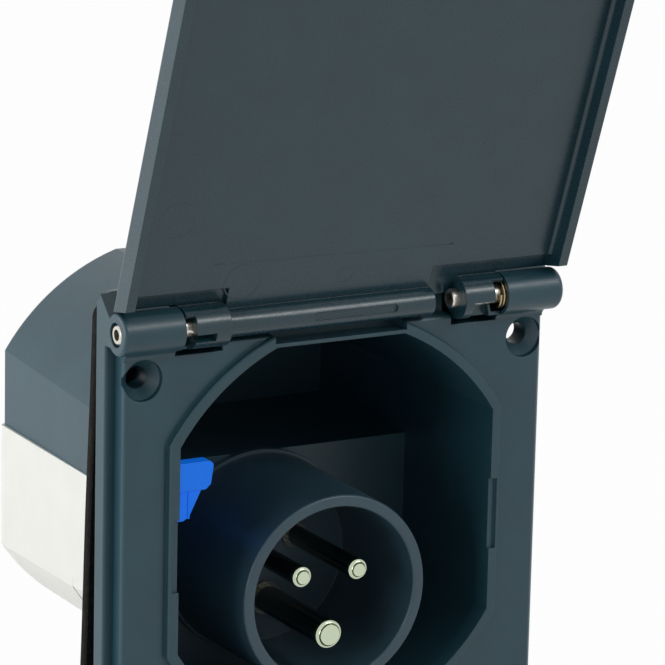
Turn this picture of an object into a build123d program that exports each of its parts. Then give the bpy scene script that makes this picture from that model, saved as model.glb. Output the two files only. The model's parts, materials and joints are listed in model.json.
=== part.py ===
from build123d import *
import os
from math import cos, radians, sin, sqrt

os.makedirs("parts", exist_ok=True)

# Frame of the part: x to the right, y into the wall, z up, origin at the middle of the four wall
# screws on the wall plane. All sizes are in millimetres.

# Flange, raised land and wall gasket
GASKET_T = 3.3
GASKET_GAP = 0.6
GASKET_TOP = 62.5
FLANGE_HALF = 60.0
FLANGE_TOP = 65.5
FLANGE_BOTTOM = -60.0
FLANGE_CORNER_R = 3.5
LIP_Y = -7.9
LIP_EDGE_R = 0.6
LIP_TOP_CHAMFER = 2.9
LAND_Y = -12.5
LAND_HALF = 57.3
LAND_TOP = 52.7
LAND_BOTTOM = -57.4
LAND_CORNER_R = 3.0
LAND_EDGE_R = 1.2
SCREW_X = 52.25
SCREW_Z = 45.0
SCREW_HOLE_R = 2.75
SCREW_HEAD_R = 5.1
SCREW_HEAD_SINK = 1.5

# Opening of the recess and the collar around it
OPENING_HALF = 43.05
OPENING_TOP = 49.85
OPENING_MID = 2.35
OPENING_SIDE = 25.65
OPENING_FLAT = 17.5
OPENING_BULGE = 2.5
COLLAR_Y = -14.3
COLLAR_W = 2.65
COLLAR_CHAMFER = 0.4
INSET_TOP = 10.2
INSET_BOTTOM = -7.8
INSET_W = 1.8
INSET_DEPTH = 1.0
POCKET_HALF = 18.0
POCKET_BOTTOM = 50.75

# Body behind the wall
BODY_HALF = 49.5
BODY_REAR_HALF = 47.5
HOOD_R = 56.4
HOOD_ARC_Z = 1.1
HOOD_TOP = 55.0
BODY_BOTTOM = -50.0
SHOULDER_Y = 20.0
REAR_Y = 76.0
HOOD_BOTTOM = 12.0
WALL_T = 2.5
PLATE_Y = 28.5
PLATE_T = 2.5
LEDGE_Z = 11.3
FLOOR_Z = 9.0
TONGUE_HALF = 45.9
REAR_EDGE_R = 1.5

# Hinge
HINGE_Y = -13.4
HINGE_Z = 57.05
BARREL_R = 5.2
BARREL_IN = 44.0
BARREL_ROOT_R = 2.0
BARREL_END_R = 1.5
BARREL_RIM_R = 0.9
KNUCKLE_IN = 32.0
KNUCKLE_OUT = 43.5
KNUCKLE_BORE_R = 2.48
NOTCH_IN = 31.3
NOTCH_BOTTOM = 50.2
NOTCH_TOP = 62.6
BEAD_R = 3.4
BEAD_LEFT = -32.0
BEAD_RIGHT = 24.4
SLOT_LEFT = -9.0
SLOT_RIGHT = 14.0
SLOT_H = 2.0
SLOT_DEPTH = 0.7
PIN_R = 2.4
PIN_BORE_R = 1.35
PIN_SINK = 1.2
SPRING_CUP_R = 4.3
SPRING_CUP_DEPTH = 2.4
SPRING_WIRE = 0.7
SPRING_R = 3.35
SPRING_PITCH = 0.95
SPRING_TURNS_LEFT = 2.25
SPRING_TURNS_RIGHT = 3.25
SPRING_REACH = 2.2
SPRING_END_DEG = 90

# Lid, modelled open
LID_TILT = 20.0
LID_HALF = 60.15
LID_OUTER = -3.45
LID_PANEL_T = 2.0
LID_RIM = 2.78
LID_WALL = 2.45
LID_NEAR = 8.0
LID_NEAR_OUTER = 4.4
LID_BARREL_GAP = 0.4
LID_FAR = 117.3
LID_CORNER_R = 3.0
LID_ROOT_R = 1.0
LID_SCOOP_R = 9.3
LID_SCOOP_FACE = -2.65

# Contact insert and its pins
SHROUD_Z = -14.0
SHROUD_R = 25.0
SHROUD_BASE_R = 25.4
SHROUD_BORE_R = 22.0
SHROUD_Y = -13.9
BASE_RING_R = 26.2
BASE_RING_T = 2.0
INSERT_FLOOR_Y = 22.0
CARRIER_R = 19.0
CARRIER_Y = 50.0
PLATE_HOLE_R = 19.3
KEY_W = 8.0
KEY_H = 2.4
SEAL_IN_R = 23.6
SEAL_OUT_R = 25.2
SEAL_T = 1.2
INSERT_SCREW_PCR = 22.0
LINE_X = 7.75
LINE_Z = -9.4
EARTH_Z = -25.0
PIN_TIP_Y = -11.85
LINE_PIN_R = 2.5
EARTH_PIN_R = 3.5
PIN_TIP_R = 0.9
COLLAR_STEP = 0.8
COLLAR_PROUD = 0.5
TERMINAL_Y = 61.0
TERMINAL_WALL = 1.6
WIRE_HOLE_R = 1.8
WIRE_HOLE_DEPTH = 11.0
TERMINAL_SCREW_Y = 56.0
TERMINAL_SCREW_R = 1.75

# Release lever at the left of the shroud
LEVER_LEFT = -42.2
LEVER_ARM_RIGHT = -36.6
LEVER_PAD_RIGHT = -28.8
LEVER_FRONT_Y = -4.5
LEVER_PAD_T = 3.6
LEVER_TOP = 20.9
LEVER_STEP_Z = 13.9
LEVER_TAIL_Z = 6.4
PIVOT_Y = 35.0
PIVOT_Z = 17.0
PIVOT_R = 1.5
PIVOT_CLEARANCE = 0.05
HUB_R = 3.6
LUG_LEFT = -33.4
LUG_T = 2.4
LEVER_SPRING_R = 2.25
LEVER_SPRING_WIRE = 0.6
LEVER_SPRING_PITCH = 0.72
LEVER_SPRING_TURNS = 2.5

# Rear cover
COVER_HALF = 49.2
COVER_REAR_HALF = 48.3
COVER_TOP = 12.0
COVER_CHEEK_BOTTOM = -16.0
COVER_SIDE_Z = -18.2
COVER_BOTTOM = -45.1
COVER_WALL = 2.4
COVER_FRONT_Y = 31.2
COVER_TOP_R = 3.0
POST_X = 38.0
POST_Z = -8.0
POST_R = 3.6
POST_BORE_R = 1.4
COVER_SCREW_R = 1.7
COVER_SCREW_HEAD_R = 3.2

# Cable gland in the rear wall
GLAND_Z = -25.0
GLAND_SPIGOT_R = 9.9
GLAND_BORE_R = 7.4
GLAND_HEX_R = 13.0
GLAND_HEX_T = 5.0
GLAND_FRONT_L = 10.0
LOCKNUT_R = 14.5
LOCKNUT_T = 4.0
DOME_R = 12.4
DOME_L = 15.0
CORD_R = 5.0


def front_plane(y):
    """Plane at depth y that faces the user; its sketch axes are X and Z."""
    return Plane.XZ.offset(-y)


def side_plane(x):
    """Plane across the hinge at x; its sketch axes are Y and Z."""
    return Plane.YZ.offset(x)


def turning_plane(x, z):
    """Plane through a turned piece whose axis runs along Y; sketch x is its radius."""
    return Plane(origin=(x, 0, z))


def turning_axis(x, z):
    return Axis((x, 0, z), (0, 1, 0))


def opening_outline(grow=0):
    """Flat sides, top and bottom, joined by four slightly bulged corners."""
    side_z = OPENING_MID + OPENING_SIDE
    outward = Vector(OPENING_TOP - side_z, OPENING_HALF - OPENING_FLAT).normalized()
    bulge = Vector(OPENING_HALF + OPENING_FLAT, side_z + OPENING_TOP) / 2 + outward * OPENING_BULGE
    with BuildSketch() as outline:
        with BuildLine():
            Line((OPENING_HALF, OPENING_MID), (OPENING_HALF, side_z))
            ThreePointArc((OPENING_HALF, side_z), (bulge.X, bulge.Y), (OPENING_FLAT, OPENING_TOP))
            Line((OPENING_FLAT, OPENING_TOP), (0, OPENING_TOP))
            mirror(about=Plane.YZ)
            mirror(about=Plane.XZ.offset(-OPENING_MID))
        make_face()
        if grow:
            offset(amount=grow, kind=Kind.INTERSECTION)
    return outline.sketch


def body_outline(bottom, grow=0):
    """Arched outline of the body behind the wall, cut flat at its sides, top and bottom."""
    with BuildSketch() as outline:
        with Locations((0, HOOD_ARC_Z)):
            Circle(HOOD_R + grow)
        with Locations((0, (HOOD_TOP + bottom) / 2)):
            Rectangle(2 * (BODY_HALF + grow), HOOD_TOP - bottom + 2 * grow, mode=Mode.INTERSECT)
    return outline.sketch


def cover_outline(half, inset):
    """Round bottom of the rear cover with upright sides."""
    side = half - inset
    with BuildSketch() as outline:
        with BuildLine():
            Polyline((-side, COVER_SIDE_Z), (-side, COVER_TOP), (side, COVER_TOP), (side, COVER_SIDE_Z))
            ThreePointArc((side, COVER_SIDE_Z), (0, COVER_BOTTOM + inset), (-side, COVER_SIDE_Z))
        make_face()
    return outline.sketch


def side_wedges(front_half, rear_half, front_y):
    """Plan of what the slightly narrowing sides leave out, one wedge on each side."""
    with BuildSketch() as outline:
        with BuildLine():
            Polyline(
                (front_half, front_y),
                (rear_half, REAR_Y),
                (rear_half, REAR_Y + 1),
                (front_half + 4, REAR_Y + 1),
                (front_half + 4, front_y),
                close=True,
            )
        make_face()
        mirror(about=Plane.YZ)
    return outline.sketch


def sector(start_deg, end_deg, reach):
    """Pie slice about the hinge axis; zero degrees points at the user, ninety up."""
    corners = [(HINGE_Y, HINGE_Z)]
    for angle in (radians(start_deg), radians((start_deg + end_deg) / 2), radians(end_deg)):
        corners.append((HINGE_Y - reach * cos(angle), HINGE_Z + reach * sin(angle)))
    with BuildSketch() as outline:
        with BuildLine():
            Polyline(*corners, close=True)
        make_face()
    return outline.sketch


# Frame: flange, land, collar, recess, hood and hinge barrels in one moulding
with BuildPart() as frame:
    with BuildSketch(front_plane(-GASKET_T)):
        with Locations((0, (FLANGE_TOP + FLANGE_BOTTOM) / 2)):
            RectangleRounded(2 * FLANGE_HALF, FLANGE_TOP - FLANGE_BOTTOM, FLANGE_CORNER_R)
    extrude(amount=-GASKET_T - LIP_Y)
    top_edge = frame.faces().sort_by(Axis.Y)[0].edges().sort_by(Axis.Z)[-1]
    chamfer(top_edge, LIP_TOP_CHAMFER)
    fillet(frame.faces().sort_by(Axis.Y)[0].edges(), LIP_EDGE_R)
    with BuildSketch(front_plane(LIP_Y)):
        with Locations((0, (LAND_TOP + LAND_BOTTOM) / 2)):
            RectangleRounded(2 * LAND_HALF, LAND_TOP - LAND_BOTTOM, LAND_CORNER_R)
    extrude(amount=LIP_Y - LAND_Y)
    fillet(frame.faces().sort_by(Axis.Y)[0].edges(), LAND_EDGE_R)
    with BuildSketch(front_plane(LAND_Y)):
        add(opening_outline(COLLAR_W))
    extrude(amount=LAND_Y - COLLAR_Y)
    chamfer(frame.faces().sort_by(Axis.Y)[0].edges(), COLLAR_CHAMFER)

    # Body: a full stub behind the wall, the tunnel of the recess, and the hood over the upper half
    with BuildSketch(front_plane(-GASKET_T)):
        add(body_outline(BODY_BOTTOM))
    extrude(amount=-GASKET_T - SHOULDER_Y)
    with BuildSketch(front_plane(SHOULDER_Y)):
        add(opening_outline(WALL_T))
    extrude(amount=SHOULDER_Y - PLATE_Y - PLATE_T)
    with BuildSketch(front_plane(SHOULDER_Y)):
        add(body_outline(HOOD_BOTTOM))
    extrude(amount=SHOULDER_Y - REAR_Y)
    with BuildSketch(front_plane(SHOULDER_Y)):
        with Locations((0, (FLOOR_Z + HOOD_BOTTOM + WALL_T) / 2)):
            Rectangle(2 * TONGUE_HALF, HOOD_BOTTOM + WALL_T - FLOOR_Z)
    extrude(amount=SHOULDER_Y - REAR_Y)
    with BuildSketch(Plane.XY.offset(BODY_BOTTOM)):
        add(side_wedges(BODY_HALF, BODY_REAR_HALF, -GASKET_T))
    extrude(amount=HOOD_TOP - BODY_BOTTOM, mode=Mode.SUBTRACT)
    hood_rear = frame.faces().sort_by(Axis.Y)[-1].edges().sort_by(Axis.Z)[-5:]
    fillet(hood_rear, REAR_EDGE_R)

    # Recess and the deep upper chamber above the ledge
    with BuildSketch(front_plane(COLLAR_Y)):
        add(opening_outline())
    extrude(amount=COLLAR_Y - PLATE_Y, mode=Mode.SUBTRACT)
    with BuildSketch(front_plane(PLATE_Y)):
        add(opening_outline())
        with Locations((0, LEDGE_Z)):
            Rectangle(4 * OPENING_HALF, OPENING_TOP, align=(Align.CENTER, Align.MIN), mode=Mode.INTERSECT)
    extrude(amount=PLATE_Y - REAR_Y + WALL_T, mode=Mode.SUBTRACT)
    with BuildSketch(front_plane(PLATE_Y)):
        with Locations((0, SHROUD_Z)):
            Circle(PLATE_HOLE_R)
            with PolarLocations(INSERT_SCREW_PCR, 4, start_angle=45):
                Circle(1.6)
    extrude(amount=-PLATE_T, mode=Mode.SUBTRACT)

    # Insets in the collar, bead pocket, and notches through the flange behind the lid's knuckles
    with BuildSketch(front_plane(COLLAR_Y)):
        with Locations(
            (-OPENING_HALF - INSET_W / 2, (INSET_TOP + INSET_BOTTOM) / 2),
            (OPENING_HALF + INSET_W / 2, (INSET_TOP + INSET_BOTTOM) / 2),
        ):
            Rectangle(INSET_W, INSET_TOP - INSET_BOTTOM)
    extrude(amount=-INSET_DEPTH, mode=Mode.SUBTRACT)
    with BuildSketch(front_plane(COLLAR_Y)):
        with Locations((0, POCKET_BOTTOM)):
            Rectangle(2 * POCKET_HALF, LAND_TOP - POCKET_BOTTOM + 1, align=(Align.CENTER, Align.MIN))
    extrude(amount=COLLAR_Y - LIP_Y, mode=Mode.SUBTRACT)
    with BuildSketch(front_plane(COLLAR_Y)):
        for side in (-1, 1):
            with Locations((side * (NOTCH_IN + BARREL_IN) / 2, (NOTCH_TOP + NOTCH_BOTTOM) / 2)):
                Rectangle(BARREL_IN - NOTCH_IN, NOTCH_TOP - NOTCH_BOTTOM)
    extrude(amount=COLLAR_Y + GASKET_T, mode=Mode.SUBTRACT)

    # Hinge barrels with a web up to the flange's top edge, rounded into the land below
    web = BARREL_R * sqrt(0.5)
    root_y = LAND_Y - BARREL_ROOT_R
    root_z = HINGE_Z - sqrt((BARREL_R + BARREL_ROOT_R) ** 2 - (root_y - HINGE_Y) ** 2)
    touch_y = HINGE_Y + (root_y - HINGE_Y) * BARREL_R / (BARREL_R + BARREL_ROOT_R)
    touch_z = HINGE_Z + (root_z - HINGE_Z) * BARREL_R / (BARREL_R + BARREL_ROOT_R)
    for side in (-1, 1):
        with BuildSketch(side_plane(-FLANGE_HALF if side < 0 else BARREL_IN)):
            with Locations((HINGE_Y, HINGE_Z)):
                Circle(BARREL_R)
            with BuildLine():
                Polyline(
                    (HINGE_Y, HINGE_Z),
                    (HINGE_Y + web, HINGE_Z + web),
                    (LIP_Y + LIP_TOP_CHAMFER, FLANGE_TOP - 0.3),
                    (LIP_Y + LIP_TOP_CHAMFER, HINGE_Z - web),
                    (HINGE_Y + web, HINGE_Z - web),
                    close=True,
                )
            make_face()
        extrude(amount=FLANGE_HALF - BARREL_IN)
    fillet(frame.faces().sort_by(Axis.X)[-1].edges().filter_by(GeomType.CIRCLE), BARREL_END_R)
    fillet(frame.faces().sort_by(Axis.X)[0].edges().filter_by(GeomType.CIRCLE), BARREL_RIM_R)
    for side in (-1, 1):
        with BuildSketch(side_plane(-LAND_HALF if side < 0 else BARREL_IN)):
            with BuildLine():
                RadiusArc((LAND_Y, root_z), (touch_y, touch_z), -BARREL_ROOT_R)
                Polyline(
                    (touch_y, touch_z),
                    (HINGE_Y, HINGE_Z),
                    (LIP_Y + 1, HINGE_Z),
                    (LIP_Y + 1, root_z),
                    (LAND_Y, root_z),
                )
            make_face()
        extrude(amount=LAND_HALF - BARREL_IN)

    # Pin bores: through on the left, blind on the right
    with BuildSketch(side_plane(-FLANGE_HALF)):
        with Locations((HINGE_Y, HINGE_Z)):
            Circle(PIN_R)
    extrude(amount=FLANGE_HALF - BARREL_IN, mode=Mode.SUBTRACT)
    with BuildSketch(side_plane(-FLANGE_HALF)):
        with Locations((HINGE_Y, HINGE_Z)):
            Circle(PIN_R + 0.6)
    extrude(amount=PIN_SINK, mode=Mode.SUBTRACT)
    with BuildSketch(side_plane(BARREL_IN)):
        with Locations((HINGE_Y, HINGE_Z)):
            Circle(PIN_R)
    extrude(amount=FLANGE_HALF - BARREL_IN - 2 * PIN_SINK, mode=Mode.SUBTRACT)

    for left in (-BARREL_IN - SPRING_CUP_DEPTH, BARREL_IN):
        with BuildSketch(side_plane(left)):
            with Locations((HINGE_Y, HINGE_Z)):
                Circle(SPRING_CUP_R)
        extrude(amount=SPRING_CUP_DEPTH, mode=Mode.SUBTRACT)

    # Screw holes, sunk for flat heads
    with BuildSketch(front_plane(LAND_Y)):
        with GridLocations(2 * SCREW_X, 2 * SCREW_Z, 2, 2):
            Circle(SCREW_HEAD_R)
    extrude(amount=-SCREW_HEAD_SINK, mode=Mode.SUBTRACT)
    with Locations(front_plane(LAND_Y + SCREW_HEAD_SINK)):
        with GridLocations(2 * SCREW_X, 2 * SCREW_Z, 2, 2):
            CounterSinkHole(SCREW_HOLE_R, SCREW_HEAD_R, depth=12, counter_sink_angle=90)

    # Lug for the lever's pivot pin, bore in the side wall, and posts for the rear cover
    with BuildSketch(side_plane(LUG_LEFT)):
        with Locations((PIVOT_Y, PIVOT_Z)):
            Circle(HUB_R)
        with Locations((PIVOT_Y, (PIVOT_Z + LEDGE_Z - 1) / 2)):
            Rectangle(2 * HUB_R, PIVOT_Z - LEDGE_Z + 1)
        with Locations((PIVOT_Y, PIVOT_Z)):
            Circle(PIVOT_R, mode=Mode.SUBTRACT)
    extrude(amount=LUG_T)
    with BuildSketch(side_plane(-OPENING_HALF - WALL_T)):
        with Locations((PIVOT_Y, PIVOT_Z)):
            Circle(PIVOT_R)
    extrude(amount=WALL_T, mode=Mode.SUBTRACT)
    with BuildSketch(front_plane(PLATE_Y + PLATE_T)):
        with Locations((-POST_X, POST_Z), (POST_X, POST_Z)):
            Circle(POST_R)
    extrude(amount=PLATE_Y + PLATE_T - REAR_Y + COVER_WALL + 0.2)
    with BuildSketch(front_plane(REAR_Y - COVER_WALL - 0.2)):
        with Locations((-POST_X, POST_Z), (POST_X, POST_Z)):
            Circle(POST_BORE_R)
    extrude(amount=14, mode=Mode.SUBTRACT)
frame.part.label = "frame"
export_step(frame.part, "parts/frame.step")

# Wall gasket: a flat foam sheet around the body
with BuildPart() as wall_gasket:
    with BuildSketch(front_plane(0)):
        with Locations((0, (GASKET_TOP + FLANGE_BOTTOM) / 2)):
            RectangleRounded(2 * FLANGE_HALF - 1, GASKET_TOP - FLANGE_BOTTOM - 1, FLANGE_CORNER_R)
        add(body_outline(BODY_BOTTOM, GASKET_GAP), mode=Mode.SUBTRACT)
        with GridLocations(2 * SCREW_X, 2 * SCREW_Z, 2, 2):
            Circle(SCREW_HOLE_R, mode=Mode.SUBTRACT)
        for side in (-1, 1):
            with Locations((side * (NOTCH_IN + BARREL_IN) / 2, (NOTCH_TOP + NOTCH_BOTTOM) / 2)):
                Rectangle(BARREL_IN - NOTCH_IN, NOTCH_TOP - NOTCH_BOTTOM, mode=Mode.SUBTRACT)
    extrude(amount=GASKET_T)
wall_gasket.part.label = "wall_gasket"
export_step(wall_gasket.part, "parts/wall_gasket.step")

# Lid: a shallow tray, open on its hinge side, with two windowed knuckles and a long bead
lid_plane = Plane(
    origin=(0, HINGE_Y, HINGE_Z),
    x_dir=(1, 0, 0),
    z_dir=(0, -cos(radians(LID_TILT)), -sin(radians(LID_TILT))),
)
lid_axis = Axis(lid_plane.origin, lid_plane.z_dir)
LID_INNER = LID_OUTER + LID_PANEL_T
with BuildPart() as lid:
    with BuildSketch(lid_plane.offset(LID_OUTER)):
        with Locations((0, (LID_NEAR_OUTER + LID_FAR) / 2)):
            Rectangle(2 * LID_HALF, LID_FAR - LID_NEAR_OUTER)
    extrude(amount=LID_RIM - LID_OUTER)
    far_corners = lid.edges().filter_by(lid_axis).sort_by(Axis.Z)[-2:]
    fillet(far_corners, LID_CORNER_R)
    outer_face = lid.faces().filter_by(lid_plane).sort_by(lid_axis)[0]
    fillet(outer_face.edges().sort_by(Axis.Z)[1:], 0.8)
    with BuildSketch(lid_plane.offset(LID_INNER)):
        with Locations((0, (LID_NEAR_OUTER + LID_FAR - LID_WALL) / 2 - 1)):
            Rectangle(2 * (LID_HALF - LID_WALL), LID_FAR - LID_WALL - LID_NEAR_OUTER + 2)
    extrude(amount=LID_RIM - LID_INNER, mode=Mode.SUBTRACT)
    roots = lid.faces().filter_by(lid_plane).sort_by(lid_axis)[1].edges().sort_by(Axis.Z)[1:]
    fillet(roots, LID_ROOT_R)
    with BuildSketch(lid_plane.offset(LID_OUTER)):
        with Locations((0, LID_NEAR / 2 + 0.1)):
            Rectangle(2 * KNUCKLE_OUT, LID_NEAR + 0.2)
    extrude(amount=LID_PANEL_T)
    with BuildSketch(lid_plane.offset(LID_SCOOP_FACE)):
        for left, right in ((LID_WALL - LID_HALF, -KNUCKLE_IN + 0.8), (BEAD_RIGHT, LID_HALF - LID_WALL)):
            with Locations(((left + right) / 2, 0)):
                Rectangle(right - left, 2 * LID_SCOOP_R - 0.6)
    extrude(amount=LID_RIM - LID_SCOOP_FACE + 1, mode=Mode.SUBTRACT)
    # Side walls cut back at a slant, and clearance round the barrels
    for left in (-LID_HALF - 1, LID_HALF - LID_WALL - LID_ROOT_R):
        with BuildSketch(Plane(origin=(left, HINGE_Y, HINGE_Z), x_dir=-lid_plane.z_dir, z_dir=(1, 0, 0))):
            with BuildLine():
                Polyline(
                    (-LID_OUTER, LID_NEAR_OUTER),
                    (-LID_RIM, LID_NEAR),
                    (-LID_RIM - 1, LID_NEAR),
                    (-LID_RIM - 1, 0),
                    (-LID_OUTER, 0),
                    close=True,
                )
            make_face()
        extrude(amount=LID_WALL + LID_ROOT_R + 1, mode=Mode.SUBTRACT)
    for left in (-LID_HALF - 1, KNUCKLE_OUT):
        with BuildSketch(side_plane(left)):
            with Locations((HINGE_Y, HINGE_Z)):
                Circle(BARREL_R + LID_BARREL_GAP)
        extrude(amount=LID_HALF + 1 - KNUCKLE_OUT, mode=Mode.SUBTRACT)
    with BuildSketch(side_plane(BEAD_LEFT)):
        with Locations((HINGE_Y, HINGE_Z)):
            Circle(BEAD_R)
    extrude(amount=BEAD_RIGHT - BEAD_LEFT)
    with BuildSketch(front_plane(HINGE_Y - BEAD_R)):
        with Locations(((SLOT_LEFT + SLOT_RIGHT) / 2, HINGE_Z)):
            SlotOverall(SLOT_RIGHT - SLOT_LEFT, SLOT_H)
    extrude(amount=-SLOT_DEPTH, mode=Mode.SUBTRACT)
    for side in (-1, 1):
        with BuildSketch(side_plane(-KNUCKLE_OUT if side < 0 else KNUCKLE_IN)):
            with Locations((HINGE_Y, HINGE_Z)):
                Circle(BARREL_R)
        extrude(amount=KNUCKLE_OUT - KNUCKLE_IN)
        with BuildSketch(side_plane(-KNUCKLE_OUT if side < 0 else KNUCKLE_IN)):
            with Locations((HINGE_Y, HINGE_Z)):
                Circle(KNUCKLE_BORE_R)
        extrude(amount=KNUCKLE_OUT - KNUCKLE_IN, mode=Mode.SUBTRACT)
        with BuildSketch(side_plane(-KNUCKLE_OUT if side < 0 else KNUCKLE_OUT - SPRING_CUP_DEPTH)):
            with Locations((HINGE_Y, HINGE_Z)):
                Circle(SPRING_CUP_R)
        extrude(amount=SPRING_CUP_DEPTH, mode=Mode.SUBTRACT)
    # Windows of the knuckles: a slot at the outer end and a longer one along the pin
    with BuildSketch(side_plane(-KNUCKLE_OUT)):
        add(sector(-92, 44, 14))
    extrude(amount=2.4, mode=Mode.SUBTRACT)
    with BuildSketch(side_plane(-KNUCKLE_OUT + 2)):
        add(sector(-34, -9, 8))
    extrude(amount=5.6, mode=Mode.SUBTRACT)
    with BuildSketch(side_plane(KNUCKLE_OUT - 3.3)):
        add(sector(-70, 56, 14))
    extrude(amount=3.3, mode=Mode.SUBTRACT)
    with BuildSketch(side_plane(KNUCKLE_OUT - 9.1)):
        add(sector(-98, -6, 9))
    extrude(amount=6.0, mode=Mode.SUBTRACT)
lid.part.label = "lid"
export_step(lid.part, "parts/lid.step")

# Hinge pins: open tubes pressed into the barrels
for name, left, right in (
    ("hinge_pin_left", -FLANGE_HALF + 0.2, -KNUCKLE_IN - 0.4),
    ("hinge_pin_right", KNUCKLE_IN - 2, FLANGE_HALF - 2.5 * PIN_SINK),
):
    with BuildPart() as hinge_pin:
        with BuildSketch(side_plane(left)):
            with Locations((HINGE_Y, HINGE_Z)):
                Circle(PIN_R)
                Circle(PIN_BORE_R, mode=Mode.SUBTRACT)
        extrude(amount=right - left)
        chamfer(hinge_pin.edges().filter_by(GeomType.CIRCLE).filter_by(lambda e: e.radius > PIN_BORE_R + 0.1), 0.3)
    hinge_pin.part.label = name
    export_step(hinge_pin.part, "parts/" + name + ".step")


def coil_spring(start, radius, wire, pitch, turns, leg, direction, reach=0):
    """Torsion spring about an axis along X; each end has a straight leg, and the last may turn to reach along X."""
    with BuildPart() as spring:
        with BuildLine() as coil:
            Helix(pitch, pitch * turns, radius, center=start, direction=direction)
        with BuildSketch(Plane(origin=coil.line @ 0, z_dir=coil.line % 0)):
            Circle(wire / 2)
        sweep(path=coil.line, is_frenet=True)
        with BuildSketch(Plane(origin=coil.line @ 0, z_dir=(coil.line % 0) * -1)):
            Circle(wire / 2)
        extrude(amount=leg)
        with BuildSketch(Plane(origin=coil.line @ 1, z_dir=coil.line % 1)):
            Circle(wire / 2)
        extrude(amount=leg)
        if reach:
            bend = coil.line @ 1 + (coil.line % 1) * leg - Vector(direction) * wire / 2
            with BuildSketch(Plane(origin=bend, z_dir=direction)):
                Circle(wire / 2)
            extrude(amount=reach)
    return spring.part


# Torsion springs, sunk in the barrels; the left one's end reaches into the knuckle's slot
hinge_axis = Axis((0, HINGE_Y, HINGE_Z), (1, 0, 0))
spring_start = BARREL_IN + SPRING_CUP_DEPTH - SPRING_WIRE / 2 - 0.1
spring_left = coil_spring(
    (-spring_start, HINGE_Y, HINGE_Z),
    SPRING_R, SPRING_WIRE, SPRING_PITCH, SPRING_TURNS_LEFT, 0.5, (1, 0, 0), SPRING_REACH,
).rotate(hinge_axis, SPRING_END_DEG)
spring_left.label = "torsion_spring_left"
export_step(spring_left, "parts/torsion_spring_left.step")
spring_right = coil_spring(
    (spring_start, HINGE_Y, HINGE_Z),
    SPRING_R, SPRING_WIRE, SPRING_PITCH, SPRING_TURNS_RIGHT, 0.5, (-1, 0, 0),
)
spring_right.label = "torsion_spring_right"
export_step(spring_right, "parts/torsion_spring_right.step")

# Contact insert: shroud, base ring, floor and contact carrier
with BuildPart() as contact_insert:
    with BuildSketch(turning_plane(0, SHROUD_Z)):
        with BuildLine():
            Polyline(
                (0, INSERT_FLOOR_Y),
                (SHROUD_BORE_R, INSERT_FLOOR_Y),
                (SHROUD_BORE_R, SHROUD_Y),
                (SHROUD_R, SHROUD_Y),
                (SHROUD_BASE_R, PLATE_Y - BASE_RING_T),
                (BASE_RING_R, PLATE_Y - BASE_RING_T),
                (BASE_RING_R, PLATE_Y),
                (CARRIER_R, PLATE_Y),
                (CARRIER_R, CARRIER_Y),
                (0, CARRIER_Y),
                close=True,
            )
        make_face()
    revolve(axis=turning_axis(0, SHROUD_Z))
    fillet(contact_insert.edges().filter_by(GeomType.CIRCLE).group_by(Axis.Y)[0], 0.7)
    with BuildSketch(front_plane(PLATE_Y)):
        with Locations((0, SHROUD_Z)):
            Circle(SEAL_OUT_R)
            Circle(SEAL_IN_R, mode=Mode.SUBTRACT)
    extrude(amount=SEAL_T, mode=Mode.SUBTRACT)
    with BuildSketch(front_plane(SHROUD_Y + 2)):
        with Locations((0, SHROUD_Z - SHROUD_R + 1)):
            Rectangle(KEY_W, KEY_H + 1, align=(Align.CENTER, Align.MAX))
    extrude(amount=SHROUD_Y + 2 - PLATE_Y + BASE_RING_T)
    with BuildSketch(front_plane(CARRIER_Y)):
        with Locations((-LINE_X, LINE_Z), (LINE_X, LINE_Z)):
            Circle(LINE_PIN_R + COLLAR_STEP)
        with Locations((0, EARTH_Z)):
            Circle(EARTH_PIN_R + COLLAR_STEP)
    extrude(amount=CARRIER_Y - INSERT_FLOOR_Y, mode=Mode.SUBTRACT)
    with BuildSketch(front_plane(CARRIER_Y)):
        with Locations((-LINE_X, LINE_Z), (LINE_X, LINE_Z)):
            Circle(LINE_PIN_R + TERMINAL_WALL)
        with Locations((0, EARTH_Z)):
            Circle(EARTH_PIN_R + TERMINAL_WALL)
    extrude(amount=4, mode=Mode.SUBTRACT)
    with BuildSketch(front_plane(PLATE_Y)):
        with Locations((0, SHROUD_Z)):
            with PolarLocations(INSERT_SCREW_PCR, 4, start_angle=45):
                Circle(1.25)
    extrude(amount=4.5, mode=Mode.SUBTRACT)
contact_insert.part.label = "contact_insert"
export_step(contact_insert.part, "parts/contact_insert.step")

# Seal under the insert's base ring
with BuildPart() as insert_seal:
    with BuildSketch(front_plane(PLATE_Y)):
        with Locations((0, SHROUD_Z)):
            Circle(SEAL_OUT_R)
            Circle(SEAL_IN_R, mode=Mode.SUBTRACT)
    extrude(amount=SEAL_T)
insert_seal.part.label = "insert_seal"
export_step(insert_seal.part, "parts/insert_seal.step")

# Screws that hold the insert, driven from behind the plate
with BuildPart() as insert_screws:
    with BuildSketch(front_plane(PLATE_Y + PLATE_T)):
        with Locations((0, SHROUD_Z)):
            with PolarLocations(INSERT_SCREW_PCR, 4, start_angle=45):
                Circle(1.25)
    extrude(amount=PLATE_T + 4.5)
    with BuildSketch(front_plane(PLATE_Y + PLATE_T)):
        with Locations((0, SHROUD_Z)):
            with PolarLocations(INSERT_SCREW_PCR, 4, start_angle=45):
                Circle(2.5)
    extrude(amount=-1.8)
    fillet(insert_screws.faces().sort_by(Axis.Y)[-4:].edges(), 0.7)
    with BuildSketch(front_plane(PLATE_Y + PLATE_T + 1.8)):
        with Locations((0, SHROUD_Z)):
            with PolarLocations(INSERT_SCREW_PCR, 4, start_angle=45):
                Rectangle(2.4, 0.6)
                Rectangle(0.6, 2.4)
    extrude(amount=1.0, mode=Mode.SUBTRACT)
insert_screws.part.label = "insert_screws"
export_step(insert_screws.part, "parts/insert_screws.step")

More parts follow.
